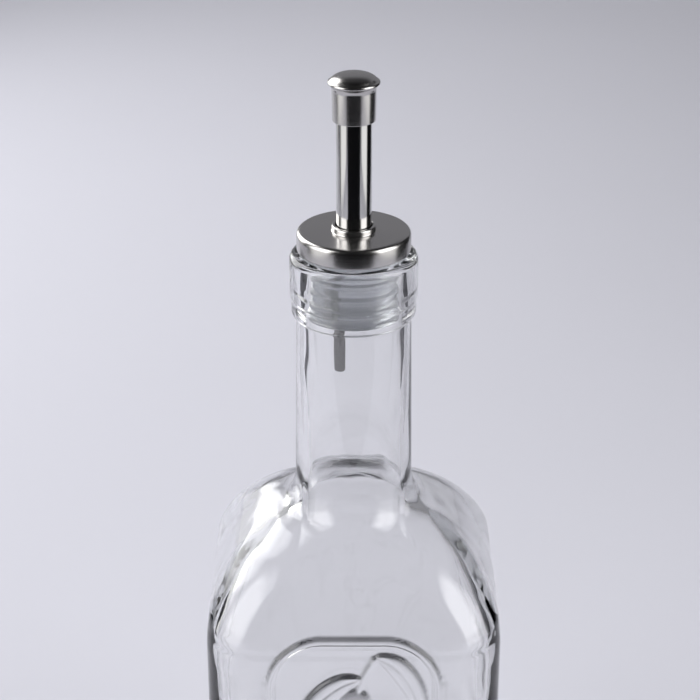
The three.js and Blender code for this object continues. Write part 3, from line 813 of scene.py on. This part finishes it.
def soft_boxes():
    """Lit panels at both sides and behind: place, what each faces, width, height, radiance, foot."""
    boxes = {
        "left_panel": ((-0.46, -0.20, 0.52), (0.0, -0.20, 0.52), 0.60, 1.00, 3.2, 0.4),
        "right_panel": ((0.46, -0.20, 0.52), (0.0, -0.20, 0.52), 0.60, 1.00, 3.2, 0.4),
        "left_back_box": ((-0.50, 0.58, 0.66), (0.3, 0.30, 0.66), 0.84, 1.30, 4.2, 0.2),
    }
    for name, (spot, target, width, height, radiance, foot) in boxes.items():
        cloth = soft_box_cloth(name + "_cloth", width, height, radiance, foot)
        box = card(name, [(x * width / 2, y * height / 2, 0) for x, y in CARD_CORNERS], cloth)
        box.location = spot
        box.rotation_euler = (Vector(target) - Vector(spot)).to_track_quat("Z", "Y").to_euler()


def ceiling_fill():
    """A broad lamp above and behind, which neither glass nor steel mirrors."""
    fill = bpy.data.lights.new("ceiling_fill", "AREA")
    fill.size = FILL_SIZE
    fill.energy = FILL_RADIANCE * math.pi * FILL_SIZE ** 2
    lamp = bpy.data.objects.new("ceiling_fill", fill)
    lamp.location = FILL_PLACE
    lamp.visible_camera = False
    lamp.visible_glossy = False
    lamp.visible_transmission = False
    bpy.context.scene.collection.objects.link(lamp)


def studio_room():
    """Dim room light, stronger from behind and weaker overhead."""
    world = bpy.data.worlds.new("studio_room")
    bpy.context.scene.world = world
    world.use_nodes = True
    room = world.node_tree
    room.nodes.clear()
    direction = add(room, "ShaderNodeTexCoord").outputs["Generated"]
    aim = add(room, "ShaderNodeSeparateXYZ", inputs={0: direction}).outputs
    back = add(room, "ShaderNodeMapRange", inputs={0: aim["Y"], 1: 0.0, 2: 0.5, 3: 0.03, 4: 0.30}).outputs[0]
    low = add(room, "ShaderNodeMapRange", inputs={0: aim["Z"], 1: 0.55, 2: 0.75, 3: 1.0, 4: 0.2}).outputs[0]
    glow = add(room, "ShaderNodeMath", {"operation": "MULTIPLY"}, {0: back, 1: low}).outputs[0]
    sky = add(room, "ShaderNodeBackground", inputs={"Color": linear("#F2F2FA"), "Strength": glow})
    add(room, "ShaderNodeOutputWorld", inputs={"Surface": sky.outputs[0]})


def photo_camera():
    """The photograph's camera, and how far light is followed through the glass."""
    data = bpy.data.cameras.new("photo_camera")
    data.lens = CAMERA_LENS
    data.clip_start = 0.01
    camera = bpy.data.objects.new("photo_camera", data)
    tilt = math.radians(CAMERA_ELEVATION)
    camera.location = Vector(CAMERA_AIM) + Vector((0, -math.cos(tilt), math.sin(tilt))) * CAMERA_DISTANCE
    camera.rotation_euler = (math.pi / 2 - tilt, 0, 0)
    bpy.context.scene.collection.objects.link(camera)
    scene = bpy.context.scene
    scene.camera = camera
    scene.view_settings.view_transform = "Standard"
    scene.cycles.max_bounces = 24
    scene.cycles.transmission_bounces = 20
    scene.cycles.glossy_bounces = 12
    scene.cycles.blur_glossy = 0.3


def finished(piece, node):
    """Puts a piece on the body in place of its solid."""
    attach(piece, "root")
    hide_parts(node)


pale_floor()
dark_cards()
soft_boxes()
ceiling_fill()
studio_room()
photo_camera()

# Relief strokes: name, guide points, power of the fall across a stroke, fullness of its dome, midrib groove
strokes = [
    ("Leaves", stroke_guide("leaf_guide", [leaf_stroke(*leaf) for leaf in LEAVES]), 5.0, 1.0, True),
    ("Olives", stroke_guide("olive_guide", [olive_stroke(*olive) for olive in OLIVES]), 2.0, 0.6, False),
    ("Stem", stroke_guide("stem_guide", [stem_stroke()]), 2.0, 0.7, False),
    ("Bead", stroke_guide("bead_guide", [bead_stroke()]), 2.0, 0.85, False),
]
section = section_guide()
bottle_profile = bottle_profile_guide()
bottle_values = {
    "Section": section, "Profile": bottle_profile, "Front Reach": -FRONT_WALL_REACH * MM,
    "Midrib Half": MIDRIB_HALF * MM, "Midrib Depth": MIDRIB_DEPTH * MM,
    "Inner Wave": INNER_WAVE * MM, "Outer Wave": OUTER_WAVE * MM, "Wave Scale": 1 / (WAVE_LENGTH * MM),
    "Material": clear_soda_glass(),
}
bottle_values.update({label: points for label, points, *_ in strokes})
bottle = grown("cruet_bottle", bottle_tree(strokes), bottle_values)
finished(bottle, "bottle")

# Turned pieces: profile corners of radius, height and rounding
stopper_corners = [(0, STOPPER_BOTTOM, 0)]
for rib in range(STOPPER_RIBS):
    foot = STOPPER_BOTTOM + rib * STOPPER_RIB_PITCH
    stopper_corners += [
        (STOPPER_CORE_RADIUS, foot, 0.15),
        (STOPPER_RIB_RADIUS, foot + STOPPER_RIB_SLOPE, 0.25),
        (STOPPER_RIB_RADIUS, foot + STOPPER_RIB_THICKNESS, 0.25),
        (STOPPER_CORE_RADIUS, foot + STOPPER_RIB_THICKNESS + STOPPER_RIB_SLOPE, 0.25),
    ]
stopper_corners += [
    (STOPPER_CORE_RADIUS, STOPPER_HEAD_BOTTOM, 0.3),
    (STOPPER_HEAD_RADIUS, STOPPER_HEAD_BOTTOM, 0.2),
    (STOPPER_HEAD_RADIUS, STOPPER_HEAD_TOP, 0.2),
    (0, STOPPER_HEAD_TOP, 0),
]
spout_hole = SPOUT_RADIUS + FIT_GAP
flange_corners = [
    (spout_hole, FLANGE_BOTTOM, 0),
    (FLANGE_RADIUS, FLANGE_BOTTOM, 0.3),
    (FLANGE_RADIUS, FLANGE_TOP, FLANGE_EDGE),
    (COLLAR_RADIUS, FLANGE_TOP, 0.25),
    (COLLAR_RADIUS, COLLAR_TOP, COLLAR_EDGE),
    (spout_hole, COLLAR_TOP, 0.12),
    (spout_hole, FLANGE_BOTTOM, 0),
]
spout_corners = [
    (SPOUT_BORE, FLANGE_BOTTOM, 0),
    (SPOUT_RADIUS, FLANGE_BOTTOM, 0.2),
    (SPOUT_RADIUS, SPOUT_TOP, 0.25),
    (SPOUT_BORE, SPOUT_TOP, 0.2),
    (SPOUT_BORE, FLANGE_BOTTOM, 0),
]
cap_ceiling = SPOUT_TOP + FIT_GAP
dome_foot = (CAP_RIM_RADIUS - CAP_RIM_EDGE, CAP_RIM_HEIGHT + CAP_RIM_EDGE)
dome_curve = [dome_foot, (CAP_DOME_FULLNESS * dome_foot[0], CAP_TOP), (0.0, CAP_TOP)]
cap_profile = rounded([
    (0, cap_ceiling, 0),
    (spout_hole, cap_ceiling, 0.2),
    (spout_hole, CAP_BOTTOM, 0.1),
    (CAP_FOOT_RADIUS, CAP_BOTTOM, 0.22),
    (CAP_NECK_RADIUS, CAP_NECK_TOP, 0.5),
    (CAP_RIM_RADIUS - CAP_RIM_EDGE, CAP_RIM_HEIGHT - CAP_RIM_EDGE, 0),
])
cap_profile += arc(CAP_RIM_RADIUS - CAP_RIM_EDGE, CAP_RIM_HEIGHT, CAP_RIM_EDGE, -70, 65, 10)
cap_profile += [bezier(dome_curve, step / 12) for step in range(1, 13)]
vent_corners = [
    (VENT_BORE, VENT_BOTTOM, 0),
    (VENT_RADIUS, VENT_BOTTOM, 0.2),
    (VENT_RADIUS, VENT_TOP, 0.1),
    (VENT_BORE, VENT_TOP, 0),
    (VENT_BORE, VENT_BOTTOM, 0),
]
polished_steel = stainless_steel("polished_stainless_steel", "#C9C8C7", 0.08, 0.14, False)
satin_steel = stainless_steel("satin_stainless_steel", "#C4C2C0", 0.18, 0.26, True)
drawn_steel = stainless_steel("drawn_stainless_steel", "#8F8E8D", 0.18, 0.26, False)
turned_pieces = [
    ("ribbed_stopper", rounded(stopper_corners), 0.0, frosted_plastic(), "stopper", "clear_plastic"),
    ("steel_flange", rounded(flange_corners), 0.0, satin_steel, "pourer_flange", "satin_steel"),
    ("steel_spout", rounded(spout_corners), 0.0, polished_steel, "spout", "polished_steel"),
    ("steel_spout_cap", cap_profile, 0.0, satin_steel, "spout_cap", "satin_steel"),
    ("steel_vent_tube", rounded(vent_corners), VENT_OFFSET, drawn_steel, "vent_tube", "polished_steel"),
]
turning = turned_tree()
guides = [section, bottle_profile] + [points for _, points, *_ in strokes]
for name, profile, offset, material, node, slot in turned_pieces:
    profile_guide = guide(name + "_profile", [(radius, 0.0, height) for radius, height in profile])
    guides.append(profile_guide)
    turned_values = {
        "Profile": profile_guide, "Segments": TURNED_SEGMENTS, "Offset": offset * MM, "Material": material,
    }
    finished(grown(name, turning, turned_values), node)
for leftover in guides:
    bpy.data.objects.remove(leftover)
